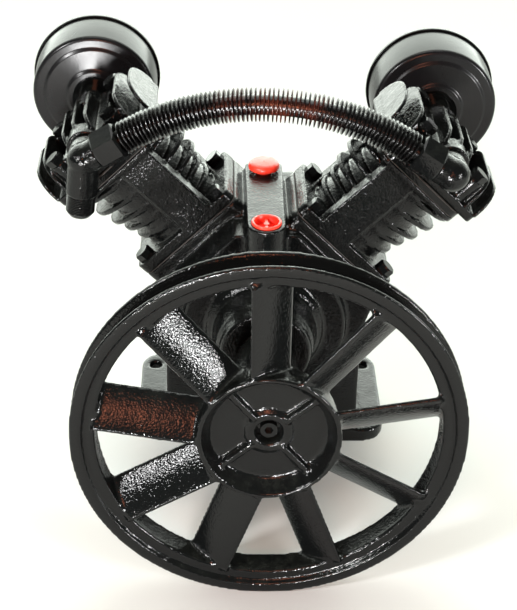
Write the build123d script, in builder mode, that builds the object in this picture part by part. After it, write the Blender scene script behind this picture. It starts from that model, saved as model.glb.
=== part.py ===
# Belt-driven V-twin air compressor pump: crankcase, two finned cylinders at 90 degrees,
# finned discharge pipe, two intake filters and a nine-bladed flywheel with one V-groove.
# Origin: centre of the foot's bottom face. +Z up, +X towards the right bank, flywheel at -Y.
import os
from math import atan2, cos, degrees, radians, sin, sqrt

from build123d import *

os.makedirs("parts", exist_ok=True)

# ---- Driving dimensions, millimetres ----
AXIS_Z = 122.0                # crank axis above the foot
BANK_SHIFT = 11.5             # left bank sits this far back, right bank this far forward
PAD = 87.0                    # crank axis to a cylinder pad, along the bank
PAD_T, PAD_Y, PAD_THICK = 104.0, 81.0, 16.0
PAD_BOLT_T, PAD_BOLT_Y = 82.0, 63.0
BORE_R = 32.5
STROKE = 46.0
ROD_LENGTH = 112.0
GASKET = 0.8
CYLINDER_TOP = 173.0
VALVE_PLATE = 5.0
HEAD_T, HEAD_Y, HEAD_FLANGE = 109.0, 77.0, 8.0
FLANGE_T, FLANGE_Y = 90.0, 82.0   # cylinder top flange and valve plate
HEAD_BOLT_T, HEAD_BOLT_Y, BOSS_TOP, BOSS_R = 62.0, 58.0, 209.0, 8.0
PORT_A, PORT_T = 204.0, 2.0   # inlet and outlet ports: along the bank and off its axis
BOLT_R, BOLT_FLATS, BOLT_HEAD = 4.0, 13.0, 6.5

FOOT_X, FOOT_Y, FOOT_Z = 215.0, 123.0, 12.0
FOOT_HOLE_X, FOOT_HOLE_Y, FOOT_HOLE_R = 190.0, 84.0, 5.5
BODY_X, BODY_FRONT, BODY_BACK = 164.0, -60.0, 58.0
CHAMBER_R, CHAMBER_FRONT, CHAMBER_FLOOR = 60.0, -48.0, 22.0
PLATEAU_Z, PLATEAU_X = 220.0, 32.0
PLUG_Y, BREATHER_Y = -67.5, 26.0
NOSE_FRONT = -110.0
BEARING_R, BEARING_WIDTH, JOURNAL_R = 31.0, 16.0, 15.0
FRONT_BEARING, REAR_BEARING = -100.0, 47.0
COVER_BOLT_PCD, COVER_BOLTS = 134.0, 6

FLYWHEEL_R, FLYWHEEL_FRONT, FLYWHEEL_WIDTH = 150.0, -226.6, 24.0
RIM_INNER_R, HUB_R = 130.0, 55.0
BLADES, BLADE_CHORD, BLADE_PITCH = 9, 37.0, 36.0
SHAFT_R, SHAFT_END = 12.5, -201.5
CRANKPIN_R, CRANKPIN_LENGTH, WEB = 11.0, 45.0, 14.0

FILTER_R, FILTER_FRONT, FILTER_BACK = 55.5, 68.0, 117.7   # Y from the bank's centre plane
PIPE_R, FIN_R, FIN_PITCH = 8.0, 13.5, 3.4
ARCH_R, ARCH_TOP = 213.0, 318.5
PIPE_Y = {-1: -46.0, 1: -68.0}
NUT_FLATS, NUT_LENGTH = 28.0, 22.0

SIDES = {"left": -1, "right": 1}
CENTRE_Y = {-1: BANK_SHIFT, 1: -BANK_SHIFT}
HEAD_BOTTOM = CYLINDER_TOP + 2 * GASKET + VALVE_PLATE
THROW = STROKE / 2
DIAGONAL = sqrt(0.5)
CRANK_AXIS = Axis((0, 0, AXIS_Z), (0, 1, 0))


def save(builder, name):
    """Labels a finished piece and writes its STEP file."""
    builder.part.label = name
    export_step(builder.part, f"parts/{name}.step")


def bank_point(side, along, across=0.0, y=0.0):
    """A point given along a bank, outwards across it, and from its centre plane."""
    x = side * DIAGONAL * (along + across)
    return (x, CENTRE_Y[side] + y, AXIS_Z + DIAGONAL * (along - across))


def bank_plane(side, along):
    """A plane square to a bank's axis: local x across the bank, local y along +Y."""
    return Plane(
        origin=bank_point(side, along),
        x_dir=(DIAGONAL, 0, -side * DIAGONAL),
        z_dir=(side * DIAGONAL, 0, DIAGONAL),
    )


def fin_plane(side, across):
    """The plane of one head fin: local x along +Y, local y along the bank."""
    return Plane(
        origin=bank_point(side, 0, across),
        x_dir=(0, 1, 0),
        z_dir=(DIAGONAL, 0, -side * DIAGONAL),
    )


def back_plane(x, y, z):
    """A plane facing +Y at a point: local x along -X, local y along +Z."""
    return Plane(origin=(x, y, z), x_dir=(-1, 0, 0), z_dir=(0, 1, 0))


def crank_plane(y):
    """A plane square to the crank axis, facing +Y."""
    return back_plane(0, y, AXIS_Z)


def port_plane(side, y):
    """A plane facing +Y, centred on a bank's port axis, at y from the bank's centre."""
    x, y, z = bank_point(side, PORT_A, PORT_T, y)
    return back_plane(x, y, z)


def turned_plane(centre):
    """A plane through an axis along Y, for profiles given as (y, radius)."""
    return Plane(origin=(centre[0], 0, centre[2]), x_dir=(0, 1, 0), z_dir=(1, 0, 0))


# ---- Crankcase: one iron casting with foot, chamber, pads, plateau and bearing nose ----
with BuildPart() as crankcase:
    with BuildSketch():
        RectangleRounded(FOOT_X, FOOT_Y, 20)
    extrude(amount=FOOT_Z)
    with BuildSketch(Plane.XZ.offset(-BODY_BACK)):
        with BuildLine():
            Polyline(
                (-BODY_X / 2, FOOT_Z - 1), (-BODY_X / 2, 112), (-90, 136), (-26, 204), (26, 204),
                (90, 136), (BODY_X / 2, 112), (BODY_X / 2, FOOT_Z - 1), close=True,
            )
        make_face()
    extrude(amount=BODY_BACK - BODY_FRONT)
    for side in SIDES.values():
        with BuildSketch(bank_plane(side, PAD)):
            RectangleRounded(PAD_T, PAD_Y, 8)
        extrude(amount=-PAD_THICK)
    with BuildSketch(Plane.XY.offset(AXIS_Z)):
        with Locations((0, (PLUG_Y + BREATHER_Y + 15) / 2)):
            Rectangle(PLATEAU_X, BREATHER_Y + 15 - PLUG_Y)
        with Locations((0, PLUG_Y)):
            Circle(PLATEAU_X / 2)
    extrude(amount=PLATEAU_Z - AXIS_Z)
    with BuildSketch(turned_plane((0, 0, AXIS_Z))):
        with BuildLine():
            Polyline(
                (BODY_FRONT + 1, 0), (BODY_FRONT + 1, 68), (-67, 68), (-69, 66), (-69, 50),
                (-74, 47), (-76, 43), (-98, 40), (-100, 38), (NOSE_FRONT + 2, 37),
                (NOSE_FRONT, 35), (NOSE_FRONT, 0), close=True,
            )
        make_face()
    revolve(axis=CRANK_AXIS)
    # Chamber and sump, cylinder openings, and the stepped bore for bearing, seal and shaft
    with BuildSketch(crank_plane(CHAMBER_FRONT)):
        Circle(CHAMBER_R)
    extrude(amount=BODY_BACK - CHAMBER_FRONT, mode=Mode.SUBTRACT)
    with BuildSketch(Plane.XY.offset(CHAMBER_FLOOR)):
        RectangleRounded(128, -2 * CHAMBER_FRONT, 10)
    extrude(amount=90, mode=Mode.SUBTRACT)
    for side in SIDES.values():
        with BuildSketch(bank_plane(side, PAD)):
            Circle(BORE_R + 3.5)
        extrude(amount=-45, mode=Mode.SUBTRACT)
        with BuildSketch(bank_plane(side, PAD)):
            with GridLocations(PAD_BOLT_T, PAD_BOLT_Y, 2, 2):
                Circle(BOLT_R)
        extrude(amount=-14, mode=Mode.SUBTRACT)
    with BuildSketch(crank_plane(FRONT_BEARING)):
        Circle(BEARING_R)
    extrude(amount=CHAMBER_FRONT - FRONT_BEARING, mode=Mode.SUBTRACT)
    with BuildSketch(crank_plane(NOSE_FRONT)):
        Circle(20)
    extrude(amount=FRONT_BEARING - NOSE_FRONT, mode=Mode.SUBTRACT)
    with BuildSketch(crank_plane(BODY_BACK)):
        with PolarLocations(COVER_BOLT_PCD / 2, COVER_BOLTS, 30):
            Circle(3)
    extrude(amount=-12, mode=Mode.SUBTRACT)
    with BuildSketch(Plane.XY.offset(PLATEAU_Z)):
        with Locations((0, BREATHER_Y)):
            Circle(7)
        with Locations((0, PLUG_Y)):
            Circle(11)
    extrude(amount=-18, mode=Mode.SUBTRACT)
    with BuildSketch(Plane.XY.offset(PLATEAU_Z)):
        with Locations((0, BREATHER_Y)):
            Circle(5)
    extrude(amount=-60, mode=Mode.SUBTRACT)
    with BuildSketch():
        with GridLocations(FOOT_HOLE_X, FOOT_HOLE_Y, 2, 2):
            Circle(FOOT_HOLE_R)
    extrude(amount=FOOT_Z, mode=Mode.SUBTRACT)
    with BuildSketch(Plane.YZ.offset(BODY_X / 2)):
        with Locations((20, CHAMBER_FLOOR + 10)):
            Circle(6)
    extrude(amount=-20, mode=Mode.SUBTRACT)
save(crankcase, "crankcase")

# ---- Main bearings: outer ring, inner ring and nine balls each ----
BALLS, BALL_CIRCLE_R, BALL_R = 9, 23.0, 4.5
for name, front in (("front_bearing", FRONT_BEARING), ("rear_bearing", REAR_BEARING)):
    with BuildPart() as bearing:
        with BuildSketch(crank_plane(front)):
            Circle(BEARING_R)
            Circle(BALL_CIRCLE_R + BALL_R + 0.1, mode=Mode.SUBTRACT)
        extrude(amount=BEARING_WIDTH)
        with BuildSketch(crank_plane(front)):
            Circle(BALL_CIRCLE_R - BALL_R - 0.1)
            Circle(JOURNAL_R + 0.03, mode=Mode.SUBTRACT)
        extrude(amount=BEARING_WIDTH)
        with Locations(crank_plane(front + BEARING_WIDTH / 2)):
            with PolarLocations(BALL_CIRCLE_R, BALLS):
                Sphere(BALL_R)
    save(bearing, name)

with BuildPart() as oil_seal:
    with BuildSketch(crank_plane(NOSE_FRONT + 1)):
        Circle(20)
        Circle(SHAFT_R + 0.05, mode=Mode.SUBTRACT)
    extrude(amount=8)
save(oil_seal, "oil_seal")

# ---- Rear cover: round plate with bearing hub, gasket, six bolts and oil sight glass ----
COVER_R, COVER_THICK = 76.0, 9.0
COVER_FRONT = BODY_BACK + GASKET
SIGHT_Z = CHAMBER_FLOOR + 50
with BuildPart() as rear_cover:
    with BuildSketch(crank_plane(COVER_FRONT)):
        Circle(COVER_R)
    extrude(amount=COVER_THICK)
    with BuildSketch(crank_plane(REAR_BEARING)):
        Circle(BEARING_R + 5)
    extrude(amount=COVER_FRONT + COVER_THICK + 5 - REAR_BEARING)
    with BuildSketch(crank_plane(REAR_BEARING)):
        Circle(BEARING_R)
    extrude(amount=BEARING_WIDTH + 0.5, mode=Mode.SUBTRACT)
    with BuildSketch(crank_plane(COVER_FRONT)):
        with PolarLocations(COVER_BOLT_PCD / 2, COVER_BOLTS, 30):
            Circle(3.3)
    extrude(amount=COVER_THICK, mode=Mode.SUBTRACT)
    with BuildSketch(back_plane(0, COVER_FRONT, SIGHT_Z)):
        Circle(9)
    extrude(amount=COVER_THICK, mode=Mode.SUBTRACT)
save(rear_cover, "rear_cover")

with BuildPart() as rear_cover_gasket:
    with BuildSketch(crank_plane(BODY_BACK)):
        Circle(COVER_R - 2)
        Circle(CHAMBER_R, mode=Mode.SUBTRACT)
        with PolarLocations(COVER_BOLT_PCD / 2, COVER_BOLTS, 30):
            Circle(3.3, mode=Mode.SUBTRACT)
    extrude(amount=GASKET)
save(rear_cover_gasket, "rear_cover_gasket")

with BuildPart() as rear_cover_bolts:
    with BuildSketch(crank_plane(BODY_BACK - 10)):
        with PolarLocations(COVER_BOLT_PCD / 2, COVER_BOLTS, 30):
            Circle(3)
    extrude(amount=10 + GASKET + COVER_THICK)
    with BuildSketch(crank_plane(COVER_FRONT + COVER_THICK)):
        with PolarLocations(COVER_BOLT_PCD / 2, COVER_BOLTS, 30):
            RegularPolygon(5, 6, major_radius=False)
    extrude(amount=5)
save(rear_cover_bolts, "rear_cover_bolts")

with BuildPart() as sight_glass:
    with BuildSketch(back_plane(0, COVER_FRONT + 1, SIGHT_Z)):
        Circle(9)
    extrude(amount=COVER_THICK - 1)
    with BuildSketch(back_plane(0, COVER_FRONT + COVER_THICK, SIGHT_Z)):
        RegularPolygon(11, 6, major_radius=False)
        Circle(7, mode=Mode.SUBTRACT)
    extrude(amount=4)
save(sight_glass, "sight_glass")

with BuildPart() as drain_plug:
    with BuildSketch(Plane.YZ.offset(BODY_X / 2 - 15)):
        with Locations((20, CHAMBER_FLOOR + 10)):
            Circle(6)
    extrude(amount=15)
    with BuildSketch(Plane.YZ.offset(BODY_X / 2)):
        with Locations((20, CHAMBER_FLOOR + 10)):
            RegularPolygon(8.5, 6, major_radius=False)
    extrude(amount=7)
save(drain_plug, "drain_plug")

# ---- Breather cap and oil filler plug, both red plastic ----
with BuildPart() as breather_cap:
    with BuildSketch(Plane.XY.offset(PLATEAU_Z + 3)):
        with Locations((0, BREATHER_Y)):
            Circle(13.2)
    extrude(amount=6)
    fillet(breather_cap.edges().group_by(Axis.Z)[-1], 2)
    with BuildSketch(Plane.XY.offset(PLATEAU_Z - 14)):
        with Locations((0, BREATHER_Y)):
            Circle(6.9)
            Circle(4, mode=Mode.SUBTRACT)
    extrude(amount=17)
save(breather_cap, "breather_cap")

with BuildPart() as filler_plug:
    with BuildSketch(Plane.XY.offset(PLATEAU_Z)):
        with Locations((0, PLUG_Y)):
            Circle(12.2)
    extrude(amount=2)
    with BuildSketch(Plane.XY.offset(PLATEAU_Z - 15)):
        with Locations((0, PLUG_Y)):
            Circle(10.9)
    extrude(amount=15)
    with BuildSketch(Plane.XY.offset(PLATEAU_Z + 2)):
        with Locations((0, PLUG_Y)):
            Circle(9.5)
            Rectangle(2.4, 19, mode=Mode.SUBTRACT)
    extrude(amount=-7, mode=Mode.SUBTRACT)
save(filler_plug, "filler_plug")

# ---- Crankshaft: two main journals, two webs with counterweights, one shared crankpin ----
KEY_LENGTH, KEY_WIDTH, KEY_BOTTOM, KEY_TOP = 40.0, 8.0, 8.5, 15.8
KEY_FRONT = -196.0
with BuildPart() as crankshaft:
    with BuildSketch(crank_plane(SHAFT_END)):
        Circle(SHAFT_R)
    extrude(amount=FRONT_BEARING - SHAFT_END)
    with BuildSketch(crank_plane(FRONT_BEARING)):
        Circle(JOURNAL_R)
    extrude(amount=-CRANKPIN_LENGTH / 2 - FRONT_BEARING)
    with BuildSketch(crank_plane(CRANKPIN_LENGTH / 2)):
        Circle(JOURNAL_R)
    extrude(amount=REAR_BEARING + BEARING_WIDTH - CRANKPIN_LENGTH / 2)
    for web_front in (-CRANKPIN_LENGTH / 2 - WEB, CRANKPIN_LENGTH / 2):
        with BuildSketch(crank_plane(web_front)):
            with BuildLine():
                ThreePointArc((-46, -22), (0, -51), (46, -22))
                Line((46, -22), (20, THROW))
                ThreePointArc((20, THROW), (0, THROW + 17), (-20, THROW))
                Line((-20, THROW), (-46, -22))
            make_face()
        extrude(amount=WEB)
    with BuildSketch(crank_plane(-CRANKPIN_LENGTH / 2)):
        with Locations((0, THROW)):
            Circle(CRANKPIN_R)
    extrude(amount=CRANKPIN_LENGTH)
    with BuildSketch(crank_plane(KEY_FRONT)):
        with Locations((0, (KEY_BOTTOM + KEY_TOP) / 2)):
            Rectangle(KEY_WIDTH, KEY_TOP - KEY_BOTTOM)
    extrude(amount=KEY_LENGTH, mode=Mode.SUBTRACT)
    with BuildSketch(crank_plane(SHAFT_END)):
        Circle(BOLT_R)
    extrude(amount=28, mode=Mode.SUBTRACT)
save(crankshaft, "crankshaft")

with BuildPart() as flywheel_key:
    with BuildSketch(crank_plane(KEY_FRONT)):
        with Locations((0, (KEY_BOTTOM + KEY_TOP) / 2)):
            Rectangle(KEY_WIDTH, KEY_TOP - KEY_BOTTOM)
    extrude(amount=KEY_LENGTH)
save(flywheel_key, "flywheel_key")

# ---- Flywheel: grooved rim, dished hub with four ribs, nine pitched fan blades ----
FLYWHEEL_BACK = FLYWHEEL_FRONT + FLYWHEEL_WIDTH
GROOVE_TOP, GROOVE_FLOOR, GROOVE_DEPTH = 17.0, 8.6, 13.0
GROOVE_Y = FLYWHEEL_FRONT + FLYWHEEL_WIDTH / 2
HUB_FLOOR, HUB_FACE, HUB_BACK = FLYWHEEL_FRONT + 12, FLYWHEEL_FRONT + 9, NOSE_FRONT - 6
SHOULDER_FRONT, SHOULDER_BACK = -206.0, -202.0
RIB_ANGLES = (50, 140, 230, 320)
with BuildPart() as flywheel:
    with BuildSketch(turned_plane((0, 0, AXIS_Z))):
        with BuildLine():
            Polyline(
                (FLYWHEEL_FRONT, FLYWHEEL_R), (GROOVE_Y - GROOVE_TOP / 2, FLYWHEEL_R),
                (GROOVE_Y - GROOVE_FLOOR / 2, FLYWHEEL_R - GROOVE_DEPTH),
                (GROOVE_Y + GROOVE_FLOOR / 2, FLYWHEEL_R - GROOVE_DEPTH),
                (GROOVE_Y + GROOVE_TOP / 2, FLYWHEEL_R), (FLYWHEEL_BACK, FLYWHEEL_R),
                (FLYWHEEL_BACK, RIM_INNER_R), (FLYWHEEL_FRONT + 4, RIM_INNER_R + 1),
                (FLYWHEEL_FRONT + 4, RIM_INNER_R + 10), (FLYWHEEL_FRONT, RIM_INNER_R + 11),
                close=True,
            )
        make_face()
        with BuildLine():
            Polyline(
                (FLYWHEEL_FRONT - 1, HUB_R), (FLYWHEEL_FRONT - 1, HUB_R - 3),
                (HUB_FLOOR, 44), (HUB_FLOOR, 18.3), (HUB_FACE, 18.3), (HUB_FACE, 10.5),
                (SHOULDER_FRONT, 10.5), (SHOULDER_FRONT, 4.5), (SHOULDER_BACK, 4.5),
                (SHOULDER_BACK, SHAFT_R), (HUB_BACK, SHAFT_R), (HUB_BACK, 24), (-180, 30),
                (FLYWHEEL_BACK, 34), (FLYWHEEL_BACK, HUB_R - 2), close=True,
            )
        make_face()
    revolve(axis=CRANK_AXIS)
    for index in range(BLADES):
        angle = radians(90 + index * 360 / BLADES)
        radial = Vector(cos(angle), 0, sin(angle))
        clockwise = Vector(sin(angle), 0, -cos(angle))
        pitch = radians(BLADE_PITCH)
        chord = clockwise * cos(pitch) + Vector(0, 1, 0) * sin(pitch)
        root = Vector(0, GROOVE_Y, AXIS_Z) + radial * (HUB_R - 4)
        with BuildSketch(Plane(origin=root, x_dir=chord, z_dir=radial)):
            with BuildLine():
                Line((-BLADE_CHORD / 2, -1.5), (-BLADE_CHORD / 2, 1.5))
                ThreePointArc((-BLADE_CHORD / 2, 1.5), (0, 5), (BLADE_CHORD / 2, 1.5))
                Line((BLADE_CHORD / 2, 1.5), (BLADE_CHORD / 2, -1.5))
                ThreePointArc((BLADE_CHORD / 2, -1.5), (0, -3), (-BLADE_CHORD / 2, -1.5))
            make_face()
        extrude(amount=RIM_INNER_R + 2 - HUB_R + 4)
    for angle in RIB_ANGLES:
        with BuildSketch(crank_plane(HUB_FACE - 2)):
            with PolarLocations(32, 1, angle):
                Rectangle(32, 5)
        extrude(amount=6)
    with BuildSketch(crank_plane(KEY_FRONT)):
        with Locations((0, (KEY_BOTTOM + KEY_TOP) / 2)):
            Rectangle(KEY_WIDTH, KEY_TOP - KEY_BOTTOM)
    extrude(amount=HUB_BACK - KEY_FRONT, mode=Mode.SUBTRACT)
save(flywheel, "flywheel")

with BuildPart() as flywheel_washer:
    with BuildSketch(crank_plane(SHOULDER_FRONT - 2)):
        Circle(10)
        Circle(BOLT_R + 0.3, mode=Mode.SUBTRACT)
    extrude(amount=2)
save(flywheel_washer, "flywheel_washer")

SOCKET_HEAD_R, SOCKET_HEAD = 6.5, 6.0
with BuildPart() as flywheel_bolt:
    with BuildSketch(crank_plane(SHOULDER_FRONT - 2)):
        Circle(BOLT_R)
    extrude(amount=28)
    with BuildSketch(crank_plane(SHOULDER_FRONT - 2)):
        Circle(SOCKET_HEAD_R)
    extrude(amount=-SOCKET_HEAD)
    with BuildSketch(crank_plane(SHOULDER_FRONT - 2 - SOCKET_HEAD)):
        RegularPolygon(3, 6, major_radius=False)
    extrude(amount=4, mode=Mode.SUBTRACT)
save(flywheel_bolt, "flywheel_bolt")

# ---- Cylinder banks: the same pieces on each side ----
# Each cylinder fin: its place along the bank and its reach across it
CYLINDER_FINS = ((109, 42), (121.5, 45), (133, 49), (147.5, 52), (163, 55))
FIN_THICK, FIN_Y = 4.0, 38.0
# Each head fin: its place across the bank, the height of its top and where its front edge is
HEAD_FINS = (
    (-52.5, 212, -20), (-41, 217, -36), (-13, 222, -38), (0, 223, -38), (13, 222, -38),
    (41, 217, -38), (52.5, 213, -38),
)
HEAD_FIN_THICK, HEAD_FIN_CORNER = 3.0, 22.0
WRIST_PIN_R = 8.0
# With the crankpin at the top, the wrist pin stands this far along either bank
PIN_REST = THROW * DIAGONAL + sqrt(ROD_LENGTH**2 - (THROW * DIAGONAL) ** 2)
CROWN = 36.0
SKIRT = 20.0

for name, side in SIDES.items():
    with BuildPart() as base_gasket:
        with BuildSketch(bank_plane(side, PAD)):
            RectangleRounded(PAD_T - 1, PAD_Y - 1, 8)
            Circle(BORE_R + 3.5, mode=Mode.SUBTRACT)
            with GridLocations(PAD_BOLT_T, PAD_BOLT_Y, 2, 2):
                Circle(BOLT_R + 0.4, mode=Mode.SUBTRACT)
        extrude(amount=GASKET)
    save(base_gasket, f"{name}_base_gasket")

    flange_bottom = PAD + GASKET
    flange_top = flange_bottom + 10
    with BuildPart() as cylinder:
        with BuildSketch(bank_plane(side, flange_bottom)):
            RectangleRounded(PAD_T, PAD_Y, 8)
        extrude(amount=10)
        with BuildSketch(bank_plane(side, PAD - 12)):
            Circle(BORE_R + 3.3)
        extrude(amount=13)
        with BuildSketch(bank_plane(side, flange_bottom)):
            Circle(BORE_R + 5)
        extrude(amount=CYLINDER_TOP - flange_bottom)
        with BuildSketch(bank_plane(side, flange_top)):
            with Locations((-17 * side, 34.5), (-17 * side, -34.5)):
                Rectangle(31, 12)
        extrude(amount=CYLINDER_TOP - flange_top)
        for along, reach in CYLINDER_FINS:
            with BuildSketch(bank_plane(side, along - FIN_THICK / 2)):
                Ellipse(reach, FIN_Y)
            extrude(amount=FIN_THICK)
        with BuildSketch(bank_plane(side, CYLINDER_TOP)):
            RectangleRounded(FLANGE_T, FLANGE_Y, 14)
        extrude(amount=-5)
        with BuildSketch(bank_plane(side, PAD - 12)):
            Circle(BORE_R)
        extrude(amount=CYLINDER_TOP - PAD + 12, mode=Mode.SUBTRACT)
        with BuildSketch(bank_plane(side, flange_bottom)):
            with GridLocations(PAD_BOLT_T, PAD_BOLT_Y, 2, 2):
                Circle(BOLT_R + 0.4)
        extrude(amount=10, mode=Mode.SUBTRACT)
        with BuildSketch(bank_plane(side, CYLINDER_TOP)):
            with GridLocations(HEAD_BOLT_T, HEAD_BOLT_Y, 2, 2):
                Circle(BOLT_R)
        extrude(amount=-9, mode=Mode.SUBTRACT)
    save(cylinder, f"{name}_cylinder")

    with BuildPart() as base_bolts:
        with BuildSketch(bank_plane(side, PAD - 12)):
            with GridLocations(PAD_BOLT_T, PAD_BOLT_Y, 2, 2):
                Circle(BOLT_R)
        extrude(amount=flange_top - PAD + 12)
        with BuildSketch(bank_plane(side, flange_top)):
            with GridLocations(PAD_BOLT_T, PAD_BOLT_Y, 2, 2):
                RegularPolygon(BOLT_FLATS / 2, 6, major_radius=False)
        extrude(amount=BOLT_HEAD)
    save(base_bolts, f"{name}_base_bolts")

    plate_bottom = CYLINDER_TOP + GASKET
    with BuildPart() as head_gaskets:
        for along in (CYLINDER_TOP, plate_bottom + VALVE_PLATE):
            with BuildSketch(bank_plane(side, along)):
                RectangleRounded(FLANGE_T - 1, FLANGE_Y - 1, 14)
                Circle(BORE_R, mode=Mode.SUBTRACT)
                with GridLocations(HEAD_BOLT_T, HEAD_BOLT_Y, 2, 2):
                    Circle(BOLT_R + 0.4, mode=Mode.SUBTRACT)
            extrude(amount=GASKET)
    save(head_gaskets, f"{name}_head_gaskets")

    with BuildPart() as valve_plate:
        with BuildSketch(bank_plane(side, plate_bottom)):
            RectangleRounded(FLANGE_T, FLANGE_Y, 14)
            with GridLocations(HEAD_BOLT_T, HEAD_BOLT_Y, 2, 2):
                Circle(BOLT_R + 0.4, mode=Mode.SUBTRACT)
            with Locations((-8, 15), (8, 15), (-8, -15), (8, -15)):
                Circle(3.5, mode=Mode.SUBTRACT)
        extrude(amount=VALVE_PLATE)
    save(valve_plate, f"{name}_valve_plate")

    # Suction reed below the plate at the intake side, discharge reed above it at the front
    reeds = (("suction_reed", plate_bottom - 0.4, 15), ("discharge_reed", plate_bottom + VALVE_PLATE, -15))
    for reed_name, along, y in reeds:
        with BuildPart() as reed:
            with BuildSketch(bank_plane(side, along)):
                with Locations((0, y)):
                    SlotOverall(34, 12)
            extrude(amount=0.4)
        save(reed, f"{name}_{reed_name}")

    fin_root = HEAD_BOTTOM + HEAD_FLANGE
    with BuildPart() as head:
        with BuildSketch(bank_plane(side, HEAD_BOTTOM)):
            RectangleRounded(HEAD_T, HEAD_Y, 6)
        extrude(amount=HEAD_FLANGE)
        with BuildSketch(bank_plane(side, fin_root)):
            RectangleRounded(49, HEAD_Y - 5, 6)
        extrude(amount=208 - fin_root)
        with BuildSketch(bank_plane(side, fin_root)):
            with GridLocations(HEAD_BOLT_T, HEAD_BOLT_Y, 2, 2):
                Circle(BOSS_R)
        extrude(amount=BOSS_TOP - fin_root)
        for across, top, front in HEAD_FINS:
            with BuildSketch(fin_plane(side, across)) as outline:
                with Locations(((front + HEAD_Y / 2) / 2, (fin_root - 1 + top) / 2)):
                    Rectangle(HEAD_Y / 2 - front, top - fin_root + 1)
                fillet(outline.vertices().group_by(Axis.Y)[-1], HEAD_FIN_CORNER)
            extrude(amount=HEAD_FIN_THICK / 2, both=True)
        for y in (-HEAD_Y / 2, HEAD_Y / 2 - 18):
            with BuildSketch(port_plane(side, y)):
                Circle(15.5)
            extrude(amount=18)
        with BuildSketch(bank_plane(side, HEAD_BOTTOM)):
            with Locations((0, 17), (0, -17)):
                Rectangle(40, 28)
        extrude(amount=201 - HEAD_BOTTOM, mode=Mode.SUBTRACT)
        for y in (-HEAD_Y / 2, HEAD_Y / 2 - 20):
            with BuildSketch(port_plane(side, y)):
                Circle(8)
            extrude(amount=20, mode=Mode.SUBTRACT)
        with BuildSketch(bank_plane(side, HEAD_BOTTOM)):
            with GridLocations(HEAD_BOLT_T, HEAD_BOLT_Y, 2, 2):
                Circle(BOLT_R + 0.4)
        extrude(amount=BOSS_TOP - HEAD_BOTTOM, mode=Mode.SUBTRACT)
    save(head, f"{name}_head")

    with BuildPart() as head_bolts:
        with BuildSketch(bank_plane(side, CYLINDER_TOP - 9)):
            with GridLocations(HEAD_BOLT_T, HEAD_BOLT_Y, 2, 2):
                Circle(BOLT_R)
        extrude(amount=BOSS_TOP - CYLINDER_TOP + 9)
        with BuildSketch(bank_plane(side, BOSS_TOP)):
            with GridLocations(HEAD_BOLT_T, HEAD_BOLT_Y, 2, 2):
                RegularPolygon(BOLT_FLATS / 2, 6, major_radius=False)
        extrude(amount=BOLT_HEAD)
    save(head_bolts, f"{name}_head_bolts")

    # Piston with three ring grooves, hollow skirt and bosses for the wrist pin
    crown = PIN_REST + CROWN
    grooves = (crown - 7, crown - 13, crown - 19)
    pin_centre = bank_point(side, PIN_REST)
    with BuildPart() as piston:
        with BuildSketch(bank_plane(side, PIN_REST - SKIRT)):
            Circle(BORE_R - 0.06)
        extrude(amount=SKIRT + CROWN)
        with BuildSketch(bank_plane(side, PIN_REST - SKIRT)):
            Circle(27)
        extrude(amount=SKIRT + CROWN - 24, mode=Mode.SUBTRACT)
        with BuildSketch(back_plane(pin_centre[0], pin_centre[1] - 28, pin_centre[2])):
            Circle(13)
        extrude(amount=56)
        with BuildSketch(bank_plane(side, PIN_REST - SKIRT)):
            Rectangle(40, 22)
        extrude(amount=SKIRT + 14, mode=Mode.SUBTRACT)
        with BuildSketch(back_plane(pin_centre[0], pin_centre[1] - 40, pin_centre[2])):
            Circle(WRIST_PIN_R)
        extrude(amount=80, mode=Mode.SUBTRACT)
        for groove in grooves:
            with BuildSketch(bank_plane(side, groove)):
                Circle(BORE_R + 1)
                Circle(29, mode=Mode.SUBTRACT)
            extrude(amount=2.5, mode=Mode.SUBTRACT)
    save(piston, f"{name}_piston")

    with BuildPart() as piston_rings:
        for groove in grooves:
            with BuildSketch(bank_plane(side, groove)):
                Circle(BORE_R - 0.03)
                Circle(29, mode=Mode.SUBTRACT)
                with Locations((0, 31)):
                    Rectangle(0.5, 6, mode=Mode.SUBTRACT)
            extrude(amount=2.5)
    save(piston_rings, f"{name}_piston_rings")

    with BuildPart() as wrist_pin:
        with BuildSketch(back_plane(pin_centre[0], pin_centre[1] - 29, pin_centre[2])):
            Circle(WRIST_PIN_R)
            Circle(4.5, mode=Mode.SUBTRACT)
        extrude(amount=58)
    save(wrist_pin, f"{name}_wrist_pin")

    # Connecting rod from the shared crankpin, at the top of its circle, to the wrist pin
    rod_y = CENTRE_Y[side]
    big_end = Vector(0, rod_y, AXIS_Z + THROW)
    small_end = Vector(*pin_centre)
    lean = degrees(atan2((small_end - big_end).X, (small_end - big_end).Z))
    rod_plane = Plane(
        origin=(0, rod_y - 10, AXIS_Z + THROW),
        x_dir=(cos(radians(lean)), 0, -sin(radians(lean))),
        z_dir=(0, -1, 0),
    )
    with BuildPart() as connecting_rod:
        with BuildSketch(rod_plane):
            Circle(19)
            with Locations((0, ROD_LENGTH)):
                Circle(12.5)
            with Locations((0, ROD_LENGTH / 2)):
                Rectangle(14, ROD_LENGTH - 12)
        extrude(amount=-20)
        with BuildSketch(rod_plane):
            Circle(CRANKPIN_R + 0.03)
            with Locations((0, ROD_LENGTH)):
                Circle(WRIST_PIN_R)
        extrude(amount=-20, mode=Mode.SUBTRACT)
    save(connecting_rod, f"{name}_connecting_rod")

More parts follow.
